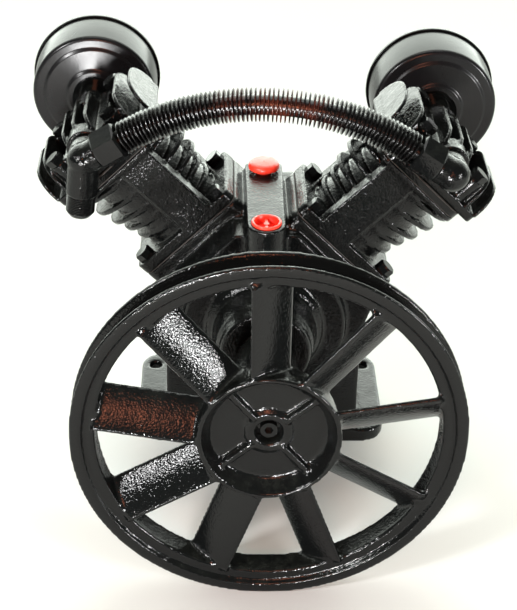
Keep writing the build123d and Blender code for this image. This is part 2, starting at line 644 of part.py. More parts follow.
    # Intake filter behind the head: neck, can, rear cap, element and centre bolt
    port_x, port_y, port_z = bank_point(side, PORT_A, PORT_T)
    port_axis = Axis((port_x, 0, port_z), (0, 1, 0))
    head_back = port_y + HEAD_Y / 2
    can_front, can_back = port_y + FILTER_FRONT, port_y + FILTER_BACK
    with BuildPart() as filter_neck:
        with BuildSketch(port_plane(side, HEAD_Y / 2)):
            Circle(13)
            Circle(8, mode=Mode.SUBTRACT)
        extrude(amount=can_front - head_back - 4)
        with BuildSketch(port_plane(side, FILTER_FRONT - 8)):
            Circle(18)
            Circle(8, mode=Mode.SUBTRACT)
        extrude(amount=4)
    save(filter_neck, f"{name}_filter_neck")

    with BuildPart() as filter_can:
        with BuildSketch(turned_plane((port_x, 0, port_z))):
            with BuildLine():
                Polyline(
                    (can_front - 4, 8), (can_front - 4, 22), (can_front - 2, 25),
                    (can_front - 2, 41), (can_front, 44), (can_front, 50), (can_front + 3, 52.5),
                    (can_back - 7, 53.5), (can_back - 7, 52), (can_front + 4, 51),
                    (can_front + 2, 49), (can_front + 2, 43), (can_front, 40), (can_front, 26),
                    (can_front - 2, 21), (can_front - 2, 8), close=True,
                )
            make_face()
        revolve(axis=port_axis)
    save(filter_can, f"{name}_filter_can")

    with BuildPart() as filter_cap:
        with BuildSketch(turned_plane((port_x, 0, port_z))):
            with BuildLine():
                Polyline(
                    (can_back, 4.5), (can_back, 50), (can_back - 3, FILTER_R - 1),
                    (can_back - 8, FILTER_R), (can_back - 8, FILTER_R - 1.2),
                    (can_back - 4, FILTER_R - 2.2), (can_back - 1.5, 48), (can_back - 1.5, 4.5),
                    close=True,
                )
            make_face()
        revolve(axis=port_axis)
    save(filter_cap, f"{name}_filter_cap")

    with BuildPart() as filter_element:
        with BuildSketch(port_plane(side, FILTER_FRONT + 2)):
            Circle(46)
            Circle(28, mode=Mode.SUBTRACT)
        extrude(amount=can_back - can_front - 3.5)
    save(filter_element, f"{name}_filter_element")

    with BuildPart() as filter_bolt:
        with BuildSketch(port_plane(side, FILTER_FRONT - 5)):
            Circle(4)
        extrude(amount=can_back - can_front + 5)
        with BuildSketch(port_plane(side, FILTER_FRONT - 7)):
            Circle(8)
        extrude(amount=3)
        with BuildSketch(port_plane(side, FILTER_BACK)):
            RegularPolygon(BOLT_FLATS / 2, 6, major_radius=False)
        extrude(amount=6)
    save(filter_bolt, f"{name}_filter_bolt")

# ---- Discharge line: elbow and tee on the heads' front ports, nuts, finned copper pipe ----
port_x, _, port_z = bank_point(1, PORT_A, PORT_T)
pipe_run = Vector(2 * port_x, PIPE_Y[1] - PIPE_Y[-1], 0).normalized()
pipe_plane = Plane(
    origin=(0, (PIPE_Y[1] + PIPE_Y[-1]) / 2, 0), x_dir=pipe_run, z_dir=pipe_run.cross(Vector(0, 0, 1))
)
half_span = sqrt(port_x**2 + ((PIPE_Y[1] - PIPE_Y[-1]) / 2) ** 2)
# The arc meets the straight end where its tangent passes through the fitting's centre
ARCH_Z = ARCH_TOP - ARCH_R
reach = sqrt(half_span**2 + (port_z - ARCH_Z) ** 2 - ARCH_R**2)
fall = degrees(atan2(half_span, port_z - ARCH_Z)) - degrees(atan2(reach, ARCH_R))
FITTING_R, FITTING_BORE, BRANCH, SPIGOT_R, SPIGOT = 12.9, 6.0, 14.0, 10.0, 8.0
OUTLET_NECK, OUTLET_R, OUTLET_LENGTH, OUTLET_CHAMFER = 30.0, 11.2, 20.0, 4.0
OUTLET_LEAN = 6.0


def pipe_point(side, distance):
    """A point on the pipe's straight end, at a distance from the fitting's centre."""
    x = side * (half_span - distance * cos(radians(fall)))
    return pipe_plane.from_local_coords(Vector(x, port_z + distance * sin(radians(fall)), 0))


def branch_plane(side, distance):
    """A plane square to the pipe's straight end, facing away from the fitting."""
    direction = pipe_point(side, 1) - pipe_point(side, 0)
    return Plane(origin=pipe_point(side, distance), z_dir=direction)


for name, side in (("discharge_tee", -1), ("discharge_elbow", 1)):
    centre = pipe_point(side, 0)
    head_front = CENTRE_Y[side] - HEAD_Y / 2
    outlet = Vector(side * sin(radians(OUTLET_LEAN)), 0, -cos(radians(OUTLET_LEAN)))
    chamfer_start = OUTLET_NECK + OUTLET_LENGTH - OUTLET_CHAMFER
    with BuildPart() as fitting:
        with Locations(centre):
            Sphere(FITTING_R + 1)
        with BuildSketch(back_plane(centre.X, centre.Y, centre.Z)):
            Circle(FITTING_R)
        extrude(amount=head_front - centre.Y)
        with BuildSketch(branch_plane(side, 0)):
            Circle(FITTING_R)
        extrude(amount=BRANCH)
        with BuildSketch(branch_plane(side, BRANCH)):
            Circle(SPIGOT_R)
        extrude(amount=SPIGOT)
        if side < 0:
            with BuildSketch(Plane(origin=centre, z_dir=outlet)):
                Circle(FITTING_R)
            extrude(amount=OUTLET_NECK)
            with BuildSketch(Plane(origin=centre + outlet * OUTLET_NECK, z_dir=outlet)):
                Circle(OUTLET_R)
            extrude(amount=OUTLET_LENGTH - OUTLET_CHAMFER)
            with BuildSketch(Plane(origin=centre + outlet * chamfer_start, z_dir=outlet)):
                Circle(OUTLET_R)
            extrude(amount=OUTLET_CHAMFER, taper=35)
            with BuildSketch(Plane(origin=centre, z_dir=outlet)):
                Circle(FITTING_BORE)
            extrude(amount=OUTLET_NECK + OUTLET_LENGTH, mode=Mode.SUBTRACT)
        with BuildSketch(back_plane(centre.X, centre.Y, centre.Z)):
            Circle(FITTING_BORE)
        extrude(amount=head_front - centre.Y, mode=Mode.SUBTRACT)
        with BuildSketch(branch_plane(side, 0)):
            Circle(FITTING_BORE)
        extrude(amount=BRANCH + SPIGOT, mode=Mode.SUBTRACT)
    save(fitting, name)

for name, side in SIDES.items():
    with BuildPart() as pipe_nut:
        with BuildSketch(branch_plane(side, BRANCH)):
            RegularPolygon(NUT_FLATS / 2, 6, major_radius=False)
            Circle(SPIGOT_R, mode=Mode.SUBTRACT)
        extrude(amount=SPIGOT)
        with BuildSketch(branch_plane(side, BRANCH + SPIGOT)):
            RegularPolygon(NUT_FLATS / 2, 6, major_radius=False)
            Circle(PIPE_R, mode=Mode.SUBTRACT)
        extrude(amount=NUT_LENGTH - SPIGOT)
    save(pipe_nut, f"{name}_pipe_nut")

arc_half = radians(fall)
with BuildPart() as discharge_pipe:
    with BuildLine() as route:
        left_end, right_end = pipe_point(-1, BRANCH + SPIGOT), pipe_point(1, BRANCH + SPIGOT)
        left_bend, right_bend = pipe_point(-1, reach), pipe_point(1, reach)
        top = pipe_plane.from_local_coords(Vector(0, ARCH_TOP, 0))
        Line(left_end, left_bend)
        ThreePointArc(left_bend, top, right_bend)
        Line(right_bend, right_end)
    with BuildSketch(Plane(origin=left_end, z_dir=left_bend - left_end)):
        Circle(PIPE_R)
        Circle(PIPE_R - 1.2, mode=Mode.SUBTRACT)
    sweep(path=route.wire())
save(discharge_pipe, "discharge_pipe")

fin_start = BRANCH + NUT_LENGTH + 1
fin_count = int((reach - fin_start + ARCH_R * arc_half) / FIN_PITCH)
with BuildPart() as pipe_fins:
    for index in range(-fin_count, fin_count + 1):
        distance = index * FIN_PITCH
        side = 1 if distance > 0 else -1
        arc = abs(distance) / ARCH_R
        if arc <= arc_half:
            local = Vector(side * ARCH_R * sin(arc), ARCH_Z + ARCH_R * cos(arc), 0)
            place = pipe_plane.from_local_coords(local)
            centre = pipe_plane.from_local_coords(Vector(0, ARCH_Z, 0))
            facing = (place - centre).cross(pipe_plane.z_dir)
        else:
            place = pipe_point(side, reach - (abs(distance) - ARCH_R * arc_half))
            facing = pipe_point(side, 1) - pipe_point(side, 0)
        with BuildSketch(Plane(origin=place, z_dir=facing)):
            Circle(FIN_R)
            Circle(PIPE_R + 0.1, mode=Mode.SUBTRACT)
        extrude(amount=0.3, both=True)
save(pipe_fins, "pipe_fins")
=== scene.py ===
import random
from math import atan2, cos, pi, radians, sin, sqrt

import bmesh
import bpy
from mathutils import Matrix, Vector


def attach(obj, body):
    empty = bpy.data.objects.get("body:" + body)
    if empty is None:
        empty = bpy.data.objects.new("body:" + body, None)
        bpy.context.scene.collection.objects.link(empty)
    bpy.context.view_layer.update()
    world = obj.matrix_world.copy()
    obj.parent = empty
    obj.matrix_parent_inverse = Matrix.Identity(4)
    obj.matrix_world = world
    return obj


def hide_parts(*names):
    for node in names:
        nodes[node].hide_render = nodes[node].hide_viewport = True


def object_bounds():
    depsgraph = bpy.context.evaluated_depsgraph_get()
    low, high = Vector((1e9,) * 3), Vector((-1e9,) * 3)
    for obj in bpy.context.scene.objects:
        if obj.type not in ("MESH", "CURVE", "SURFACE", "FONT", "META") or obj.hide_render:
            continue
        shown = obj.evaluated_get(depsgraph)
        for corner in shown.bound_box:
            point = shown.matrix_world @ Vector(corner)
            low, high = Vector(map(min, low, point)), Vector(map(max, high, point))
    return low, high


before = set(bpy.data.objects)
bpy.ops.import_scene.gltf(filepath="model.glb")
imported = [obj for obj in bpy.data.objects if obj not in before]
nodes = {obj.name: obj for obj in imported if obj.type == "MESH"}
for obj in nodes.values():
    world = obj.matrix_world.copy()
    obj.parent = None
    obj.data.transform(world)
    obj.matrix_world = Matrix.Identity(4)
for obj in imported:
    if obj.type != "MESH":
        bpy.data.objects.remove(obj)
cad_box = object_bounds()


# ---- Stage, camera and light ----
# A white sweep under the pump, one long lens a little above it, a bright room behind and
# over it, and soft panels in front that give black enamel its white glints.
scene = bpy.context.scene
scene.view_settings.view_transform = "Standard"

LENS, SENSOR_WIDTH = 94.92, 36.0
CAMERA_PLACE = Vector((-0.0430, -1.1991, 0.8357))
CAMERA_BACK = Vector((-0.02858, -0.85262, 0.52176))
CAMERA_ROLL = radians(1.27)
camera_data = bpy.data.cameras.new("camera")
camera_data.lens = LENS
camera_data.sensor_width = SENSOR_WIDTH
camera_data.clip_end = 20.0
camera = bpy.data.objects.new("camera", camera_data)
scene.collection.objects.link(camera)
scene.camera = camera
back = CAMERA_BACK.normalized()
level = Vector((0, 0, 1)).cross(back).normalized()
upright = back.cross(level)
right = level * cos(CAMERA_ROLL) + upright * sin(CAMERA_ROLL)
up = upright * cos(CAMERA_ROLL) - level * sin(CAMERA_ROLL)
turn = Matrix((right, up, back)).transposed().to_4x4()
camera.matrix_world = Matrix.Translation(CAMERA_PLACE) @ turn


def add_piece(name, bm, material, smooth_angle=35.0):
    """Makes an object from a bmesh, shaded smooth except across its sharp edges."""
    for face in bm.faces:
        face.smooth = True
    for edge in bm.edges:
        if len(edge.link_faces) == 2 and edge.calc_face_angle(0.0) > radians(smooth_angle):
            edge.smooth = False
    mesh = bpy.data.meshes.new(name)
    bm.to_mesh(mesh)
    bm.free()
    piece = bpy.data.objects.new(name, mesh)
    scene.collection.objects.link(piece)
    mesh.materials.append(material)
    return piece


floor_white = bpy.data.materials.new("floor_white")
floor_white.use_nodes = True
floor_shader = floor_white.node_tree.nodes["Principled BSDF"]
floor_shader.inputs["Base Color"].default_value = (0.62, 0.625, 0.605, 1)
floor_shader.inputs["Roughness"].default_value = 0.9
floor_shader.inputs["Specular IOR Level"].default_value = 0.1
FLOOR_HALF, FLOOR_GAP = 4.0, 0.001
lowest = cad_box[0][2]
floor_mesh = bmesh.new()
bmesh.ops.create_grid(floor_mesh, x_segments=1, y_segments=1, size=FLOOR_HALF,
                      matrix=Matrix.Translation((0, 0, lowest - FLOOR_GAP)))
floor = add_piece("floor", floor_mesh, floor_white)

# The room is bright behind the pump and nearly dark in front of it
world = bpy.data.worlds.new("studio")
world.use_nodes = True
sky = world.node_tree
direction = sky.nodes.new("ShaderNodeSeparateXYZ")
sky.links.new(sky.nodes.new("ShaderNodeTexCoord").outputs["Generated"], direction.inputs[0])
behind = sky.nodes.new("ShaderNodeMapRange")
behind.interpolation_type = "SMOOTHSTEP"
for label, number in zip(("From Min", "From Max", "To Min", "To Max"), (0.05, 0.95, 0.1, 6.4)):
    behind.inputs[label].default_value = number
sky.links.new(direction.outputs["Y"], behind.inputs["Value"])
sky.links.new(behind.outputs["Result"], sky.nodes["Background"].inputs["Strength"])
sky.nodes["Background"].inputs["Color"].default_value = (0.93, 1.0, 0.92, 1)
scene.world = world


def add_panel(name, place, target, width, height, power, colour=(1, 1, 1)):
    """A soft rectangular light aimed at a point."""
    data = bpy.data.lights.new(name, "AREA")
    data.shape = "RECTANGLE"
    data.size = width
    data.size_y = height
    data.energy = power
    data.color = colour
    panel = bpy.data.objects.new(name, data)
    aim = Vector(target) - Vector(place)
    panel.matrix_world = Matrix.Translation(place) @ aim.to_track_quat("-Z", "Y").to_matrix().to_4x4()
    scene.collection.objects.link(panel)


add_panel("top_panel", (0, 0.2, 2.0), (0, 0, 0.1), 1.2, 0.7, 8)
add_panel("left_panel", (-1.26, -1.41, 1.15), (-0.08, -0.21, 0.07), 0.26, 0.26, 30)
add_panel("right_panel", (1.58, -1.33, 0.46), (-0.06, -0.21, 0.18), 0.26, 0.26, 30)
add_panel("low_panel", (-0.35, -1.8, 0.12), (0, -0.1, 0.2), 0.24, 0.2, 40)
add_panel("warm_panel", (-0.1, -1.5, 1.0), (-0.1, -0.2, 0.12), 0.4, 0.3, 7, (1.0, 0.3, 0.16))


# ---- Crankcase: one grey-iron sand casting, sprayed in gloss black enamel ----
# The foot, cylinder pads, top plateau and bearing nose are one piece; edges are rounded by
# the sand mould and the paint, and every face keeps the mould's grain under the gloss.
def group_with(name, inputs, outputs):
    """An empty shader node group with named number sockets; returns it with its two end nodes."""
    group = bpy.data.node_groups.new(name, "ShaderNodeTree")
    for label, value in inputs:
        socket = group.interface.new_socket(label, in_out="INPUT", socket_type="NodeSocketFloat")
        socket.default_value = value
    for label in outputs:
        group.interface.new_socket(label, in_out="OUTPUT", socket_type="NodeSocketFloat")
    return group, group.nodes.new("NodeGroupInput"), group.nodes.new("NodeGroupOutput")


def object_place(tree):
    """Object coordinates, in metres."""
    return tree.nodes.new("ShaderNodeTexCoord").outputs["Object"]


def noise(tree, place, scale, detail=2.0, roughness=0.5):
    """A noise texture; scale is in features per metre."""
    node = tree.nodes.new("ShaderNodeTexNoise")
    node.inputs["Scale"].default_value = scale
    node.inputs["Detail"].default_value = detail
    node.inputs["Roughness"].default_value = roughness
    tree.links.new(place, node.inputs["Vector"])
    return node.outputs["Fac"]


def maths(tree, operation, first, second):
    """One Math node; either value may be a socket or a number."""
    node = tree.nodes.new("ShaderNodeMath")
    node.operation = operation
    for socket, value in zip(node.inputs, (first, second)):
        if isinstance(value, (int, float)):
            socket.default_value = value
        else:
            tree.links.new(value, socket)
    return node.outputs[0]


def spread(tree, value, low, high, to_low, to_high):
    """A clamped Map Range node."""
    node = tree.nodes.new("ShaderNodeMapRange")
    for label, number in zip(("From Min", "From Max", "To Min", "To Max"), (low, high, to_low, to_high)):
        node.inputs[label].default_value = number
    tree.links.new(value, node.inputs["Value"])
    return node.outputs["Result"]


def blend_colours(tree, factor, first, second):
    """A colour Mix node; either colour may be a socket or three numbers."""
    node = tree.nodes.new("ShaderNodeMix")
    node.data_type = "RGBA"
    tree.links.new(factor, node.inputs["Factor"])
    for label, colour in (("A", first), ("B", second)):
        if isinstance(colour, tuple):
            node.inputs[label].default_value = (*colour, 1)
        else:
            tree.links.new(colour, node.inputs[label])
    return node.outputs["Result"]


def new_material(name):
    """A material with a Principled BSDF; returns it, its tree and its shader."""
    material = bpy.data.materials.new(name)
    material.use_nodes = True
    return material, material.node_tree, material.node_tree.nodes["Principled BSDF"]


def bump_from(tree, shader, height, distance):
    """Drives a shader's normal from a height; distance is in metres."""
    bump = tree.nodes.new("ShaderNodeBump")
    bump.inputs["Distance"].default_value = distance
    tree.links.new(height, bump.inputs["Height"])
    tree.links.new(bump.outputs["Normal"], shader.inputs["Normal"])


def place_group(tree, group, **values):
    """Puts a node group in a material with its own values."""
    node = tree.nodes.new("ShaderNodeGroup")
    node.node_tree = group
    for label, value in values.items():
        node.inputs[label].default_value = value
    return node.outputs


# The sand mould's grain under enamel: heights for bump, and masks for gloss and dust
sand_cast, sand_in, sand_out = group_with(
    "sand_cast", [("Grain", 1.0), ("Waviness", 1.0)], ["Height", "Dull", "Dust"])
sand_place = object_place(sand_cast)
fine_grain = noise(sand_cast, sand_place, 820.0, 1.0)
coarse_grain = noise(sand_cast, sand_place, 520.0, 1.0)
grain = maths(sand_cast, "ADD", fine_grain, coarse_grain)
grain = maths(sand_cast, "MULTIPLY", maths(sand_cast, "MULTIPLY", grain, 0.1), sand_in.outputs["Grain"])
lumps = maths(sand_cast, "MULTIPLY", noise(sand_cast, sand_place, 150.0, 1.0), 0.3)
waves = maths(sand_cast, "ADD", lumps, noise(sand_cast, sand_place, 45.0, 1.0, 0.4))
waves = maths(sand_cast, "MULTIPLY", waves, sand_in.outputs["Waviness"])
sand_cast.links.new(maths(sand_cast, "ADD", grain, waves), sand_out.inputs["Height"])
patches = noise(sand_cast, sand_place, 22.0, 3.0, 0.6)
sand_cast.links.new(spread(sand_cast, patches, 0.35, 0.7, 0.0, 1.0), sand_out.inputs["Dull"])
sand_normal = sand_cast.nodes.new("ShaderNodeSeparateXYZ")
sand_cast.links.new(sand_cast.nodes.new("ShaderNodeNewGeometry").outputs["Normal"], sand_normal.inputs[0])
upward = spread(sand_cast, sand_normal.outputs["Z"], 0.5, 1.0, 0.0, 1.0)
specks = spread(sand_cast, noise(sand_cast, sand_place, 90.0, 4.0, 0.7), 0.4, 0.7, 0.0, 1.0)
sand_cast.links.new(maths(sand_cast, "MULTIPLY", upward, specks), sand_out.inputs["Dust"])


def enamel(name, grain=1.0, waviness=1.0, gloss=(0.05, 0.13), colour=(0.003, 0.0034, 0.0034)):
    """Gloss black enamel over a casting, with a little dust on what faces up."""
    material, tree, shader = new_material(name)
    skin = place_group(tree, sand_cast, Grain=grain, Waviness=waviness)
    colours = blend_colours(tree, skin["Dust"], colour, (0.012, 0.0135, 0.0115))
    tree.links.new(colours, shader.inputs["Base Color"])
    tree.links.new(spread(tree, skin["Dull"], 0.0, 1.0, *gloss), shader.inputs["Roughness"])
    bump_from(tree, shader, skin["Height"], 0.001)
    shader.inputs["IOR"].default_value = 1.31
    return material


cast_black = enamel("cast_black", grain=2.2, waviness=0.8)


def add_solid(bm, node):
    """Adds a CAD node's surface to a bmesh, with its doubles merged."""
    whole = bmesh.new()
    whole.from_mesh(nodes[node].data)
    bmesh.ops.remove_doubles(whole, verts=whole.verts, dist=1e-6)
    carrier = bpy.data.meshes.new("carrier")
    whole.to_mesh(carrier)
    whole.free()
    bm.from_mesh(carrier)
    bpy.data.meshes.remove(carrier)


def add_casting(name, bm, material, voxel, rounds):
    """A casting: its overlapping lumps become one skin with rounded edges and soft fillets."""
    piece = add_piece(name, bm, material)
    remesh = piece.modifiers.new("one_skin", "REMESH")
    remesh.mode = "VOXEL"
    remesh.voxel_size = voxel
    remesh.use_smooth_shade = True
    soften = piece.modifiers.new("soft_edges", "SMOOTH")
    soften.factor = 0.5
    soften.iterations = rounds
    return piece


def stand_for(piece, body, slot, *replaced):
    """The piece rides a body and stands for CAD nodes, which it hides; the slot is not used."""
    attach(piece, body)
    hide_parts(*replaced)


case_mesh = bmesh.new()
add_solid(case_mesh, "crankcase")
crankcase = add_casting("crankcase_casting", case_mesh, cast_black, 0.0018, 3)
stand_for(crankcase, "pump", "black_enamel", "crankcase")


# ---- Rear bearing cover, its gasket and bolts, the oil sight glass and the drain plug ----
# The cover is a round iron casting on six M6 bolts. The sight glass is a moulded window screwed
# into it, low down, and the drain plug is a steel hexagon in the crankcase's side.
cover_mesh = bmesh.new()
add_solid(cover_mesh, "rear_cover")
cover = add_casting("rear_cover_casting", cover_mesh, cast_black, 0.0015, 3)
stand_for(cover, "pump", "black_enamel", "rear_cover")


def hexagon_head(bm, place, flats, height, chamfer=0.0012):
    """A hexagon bolt head along local Z, with a round chamfer at its top."""
    corner = flats / sqrt(3)
    verts = []
    for radius, segments, z in ((corner, 6, 0.0), (corner, 6, height - chamfer), (flats * 0.47, 36, height)):
        ring = bmesh.ops.create_circle(bm, segments=segments, radius=radius,
                                       matrix=place @ Matrix.Translation((0, 0, z)))
        verts += ring["verts"]
    hull = bmesh.ops.convex_hull(bm, input=verts)
    left_over = hull["geom_interior"] + hull["geom_unused"]
    unused = [item for item in left_over if isinstance(item, bmesh.types.BMVert)]
    bmesh.ops.delete(bm, geom=unused, context="VERTS")


def add_drum(bm, place, radius, depth, top_radius=None, segments=48):
    """A closed cylinder or cone along a placing matrix's local Z, from 0 to depth."""
    top_radius = radius if top_radius is None else top_radius
    bmesh.ops.create_cone(bm, cap_ends=True, segments=segments, radius1=radius, radius2=top_radius,
                          depth=depth, matrix=place @ Matrix.Translation((0, 0, depth / 2)))


def add_bolt(bm, place, flats, height, shank, length):
    """A bolt whose head sits on the plane of its placing matrix, its shank below it."""
    hexagon_head(bm, place, flats, height)
    add_drum(bm, place @ Matrix.Translation((0, 0, -length)), shank, length, segments=20)


# Enamel on machined steel is smoother than on a casting
painted_steel = enamel("painted_steel", grain=0.4, waviness=0.3, gloss=(0.06, 0.16))

CRISP = 12.0               # degrees; keeps the edges of hexagons sharp
AXIS_Z = 0.122             # the crankshaft's height
COVER_FACE, COVER_CIRCLE, COVER_BOLTS = 0.0678, 0.067, 6
M6_FLATS, M6_HEAD, M6_SHANK = 0.010, 0.005, 0.003
cover_bolts = bmesh.new()
for index in range(COVER_BOLTS):
    angle = radians(30 + 360 / COVER_BOLTS * index)
    place = Matrix.Translation((COVER_CIRCLE * cos(angle), COVER_FACE, AXIS_Z + COVER_CIRCLE * sin(angle)))
    place = place @ Matrix.Rotation(-pi / 2, 4, "X")
    add_bolt(cover_bolts, place, M6_FLATS, M6_HEAD, M6_SHANK, 0.0196)
bolt_set = add_piece("rear_cover_bolt_set", cover_bolts, painted_steel, CRISP)
stand_for(bolt_set, "pump", "painted_fastener", "rear_cover_bolts")


def finish(material, *names):
    """Gives CAD nodes that stay in sight their own material."""
    for name in names:
        nodes[name].data.materials.clear()
        nodes[name].data.materials.append(material)


def fibre(name, dark, pale, roughness):
    """Pressed fibre or rubber: mottled, matt and faintly rough."""
    material, tree, shader = new_material(name)
    place = object_place(tree)
    mottle = spread(tree, noise(tree, place, 260.0, 4.0, 0.6), 0.35, 0.65, 0.0, 1.0)
    tree.links.new(blend_colours(tree, mottle, dark, pale), shader.inputs["Base Color"])
    tree.links.new(spread(tree, mottle, 0.0, 1.0, roughness, roughness + 0.15), shader.inputs["Roughness"])
    bump_from(tree, shader, noise(tree, place, 1400.0, 2.0), 0.0001)
    return material


gasket_fibre = fibre("gasket_fibre", (0.02, 0.018, 0.016), (0.05, 0.045, 0.04), 0.7)
finish(gasket_fibre, "rear_cover_gasket")
finish(fibre("seal_rubber", (0.012, 0.012, 0.012), (0.022, 0.021, 0.02), 0.45), "oil_seal")
finish(painted_steel, "drain_plug")

WINDOW_Z, WINDOW_R = 0.072, 0.007


def sight_window():
    """A hazy window half full of amber oil, in the plug's painted hexagon."""
    material, tree, shader = new_material("sight_clear")
    place = object_place(tree)
    haze = spread(tree, noise(tree, place, 120.0, 3.0), 0.3, 0.7, 0.0, 1.0)
    sides = tree.nodes.new("ShaderNodeSeparateXYZ")
    tree.links.new(place, sides.inputs[0])
    across = maths(tree, "POWER", sides.outputs["X"], 2.0)
    above = maths(tree, "SUBTRACT", sides.outputs["Z"], WINDOW_Z)
    radius = maths(tree, "SQRT", maths(tree, "ADD", across, maths(tree, "POWER", above, 2.0)), 0.0)
    rim = spread(tree, radius, WINDOW_R - 0.0002, WINDOW_R + 0.0002, 0.0, 1.0)
    oil = spread(tree, above, -0.0006, 0.0, 1.0, 0.0)
    window = blend_colours(tree, haze, (0.5, 0.52, 0.46), (0.42, 0.41, 0.34))
    window = blend_colours(tree, oil, window, (0.3, 0.13, 0.02))
    tree.links.new(blend_colours(tree, rim, window, (0.004, 0.004, 0.004)), shader.inputs["Base Color"])
    tree.links.new(spread(tree, haze, 0.0, 1.0, 0.06, 0.16), shader.inputs["Roughness"])
    bump_from(tree, shader, noise(tree, place, 300.0), 0.00005)
    shader.inputs["Coat Weight"].default_value = 0.5
    return material


finish(sight_window(), "sight_glass")


def bare_metal(name, dark, pale, roughness, streaks=(1.0, 1.0, 8.0)):
    """Machined metal: fine tool marks that run across one direction, and slight stains."""
    material, tree, shader = new_material(name)
    stretch = tree.nodes.new("ShaderNodeVectorMath")
    stretch.operation = "MULTIPLY"
    stretch.inputs[1].default_value = streaks
    tree.links.new(object_place(tree), stretch.inputs[0])
    marks = noise(tree, stretch.outputs[0], 220.0, 3.0, 0.6)
    stains = spread(tree, noise(tree, object_place(tree), 50.0, 3.0), 0.35, 0.7, 0.0, 1.0)
    tree.links.new(blend_colours(tree, stains, pale, dark), shader.inputs["Base Color"])
    tree.links.new(spread(tree, marks, 0.3, 0.7, roughness, roughness + 0.14), shader.inputs["Roughness"])
    bump_from(tree, shader, marks, 0.00004)
    shader.inputs["Metallic"].default_value = 1.0
    return material


finish(bare_metal("bearing_steel", (0.45, 0.44, 0.42), (0.62, 0.62, 0.63), 0.16, (1.0, 8.0, 1.0)),
       "front_bearing", "rear_bearing")


# ---- Cylinders: two finned iron castings bolted to the pads at 90 degrees ----
# Each has a square base flange, a flat block on its front, five cooling fins and a top flange.
SIDES = {"left": -1, "right": 1}
DIAGONAL = sqrt(0.5)
BANK_SHIFT = 0.0115        # each bank's distance off the middle, so that two rods fit one crankpin
M8_FLATS, M8_SHANK = 0.013, 0.004
BASE_FLANGE_TOP, BASE_BOLT_ACROSS, BASE_BOLT_Y = 0.0978, 0.041, 0.0315


def on_bank(side, along, across=0.0, y=0.0):
    """A placing matrix on a bank: local Z along it, local X across it and outwards."""
    outwards, height = DIAGONAL * (along + across), AXIS_Z + DIAGONAL * (along - across)
    centre = Vector((side * outwards, -side * BANK_SHIFT + y, height))
    axes = Matrix(((side * DIAGONAL, 0, -DIAGONAL), (0, side, 0), (side * DIAGONAL, 0, DIAGONAL)))
    return Matrix.Translation(centre) @ axes.transposed().to_4x4()


# The cylinders keep the roughest sand skin of the whole pump
lumpy_black = enamel("lumpy_black", grain=2.6, waviness=1.5)
for name, side in SIDES.items():
    bm = bmesh.new()
    add_solid(bm, f"{name}_cylinder")
    stand_for(add_casting(f"{name}_cylinder_casting", bm, lumpy_black, 0.0011, 1),
              "pump", "black_enamel", f"{name}_cylinder")
    bolts = bmesh.new()
    for across in (-BASE_BOLT_ACROSS, BASE_BOLT_ACROSS):
        for y in (-BASE_BOLT_Y, BASE_BOLT_Y):
            add_bolt(bolts, on_bank(side, BASE_FLANGE_TOP, across, y), M8_FLATS, 0.0072, M8_SHANK, 0.0225)
    stand_for(add_piece(f"{name}_base_bolt_set", bolts, painted_steel, CRISP),
              "pump", "painted_fastener", f"{name}_base_bolts")
    finish(gasket_fibre, f"{name}_base_gasket")


# ---- Cylinder heads: finned castings with an outlet boss in front and an inlet boss behind ----
# Under each head are a steel valve plate between two gaskets and two sprung reeds. Four long
# bolts stand on bosses among the fins.
BOSS_TOP, HEAD_BOLT_ACROSS, HEAD_BOLT_Y = 0.209, 0.031, 0.029
spring_steel = bare_metal("spring_steel", (0.3, 0.28, 0.25), (0.5, 0.5, 0.52), 0.14)
for name, side in SIDES.items():
    bm = bmesh.new()
    add_solid(bm, f"{name}_head")
    stand_for(add_casting(f"{name}_head_casting", bm, cast_black, 0.0011, 1),
              "pump", "black_enamel", f"{name}_head")
    bolts = bmesh.new()
    for across in (-HEAD_BOLT_ACROSS, HEAD_BOLT_ACROSS):
        for y in (-HEAD_BOLT_Y, HEAD_BOLT_Y):
            add_bolt(bolts, on_bank(side, BOSS_TOP, across, y), M8_FLATS, 0.0068, M8_SHANK, 0.045)
    stand_for(add_piece(f"{name}_head_bolt_set", bolts, painted_steel, CRISP),
              "pump", "painted_fastener", f"{name}_head_bolts")
    finish(gasket_fibre, f"{name}_head_gaskets")
    finish(painted_steel, f"{name}_valve_plate")
    finish(spring_steel, f"{name}_suction_reed", f"{name}_discharge_reed")


# ---- Pistons and rods: sealed inside, seen only when the pump is taken apart ----
# Turned aluminium pistons with iron rings, hollow steel wrist pins and die-cast rods that share
# one pin of the forged crankshaft.
piston_aluminium = bare_metal("piston_aluminium", (0.5, 0.5, 0.5), (0.72, 0.72, 0.73), 0.28)
rod_aluminium = bare_metal("rod_aluminium", (0.45, 0.45, 0.45), (0.62, 0.62, 0.63), 0.42, (1.0, 1.0, 1.0))
ring_iron = bare_metal("ring_iron", (0.08, 0.08, 0.08), (0.22, 0.22, 0.22), 0.3)
forged_steel = bare_metal("forged_steel", (0.25, 0.25, 0.25), (0.42, 0.42, 0.43), 0.26, (1.0, 8.0, 1.0))
for name in SIDES:
    finish(piston_aluminium, f"{name}_piston")
    finish(ring_iron, f"{name}_piston_rings")
    finish(forged_steel, f"{name}_wrist_pin")
    finish(rod_aluminium, f"{name}_connecting_rod")
finish(forged_steel, "crankshaft", "flywheel_key")


# ---- Discharge line: cast elbow and tee, hexagon nuts and a finned copper pipe ----
# The pipe arches over the crankcase between the two heads. Its fins are one strip wound on edge, so they
# stand a little uneven, and the black paint over them is thin; the copper-red painted near the top is partly
# copper through that thin paint and partly a painted warm reflection.
for name in ("discharge_tee", "discharge_elbow"):
    bm = bmesh.new()
    add_solid(bm, name)
    stand_for(add_casting(f"{name}_casting", bm, cast_black, 0.0009, 6), "pump", "painted_fitting", name)

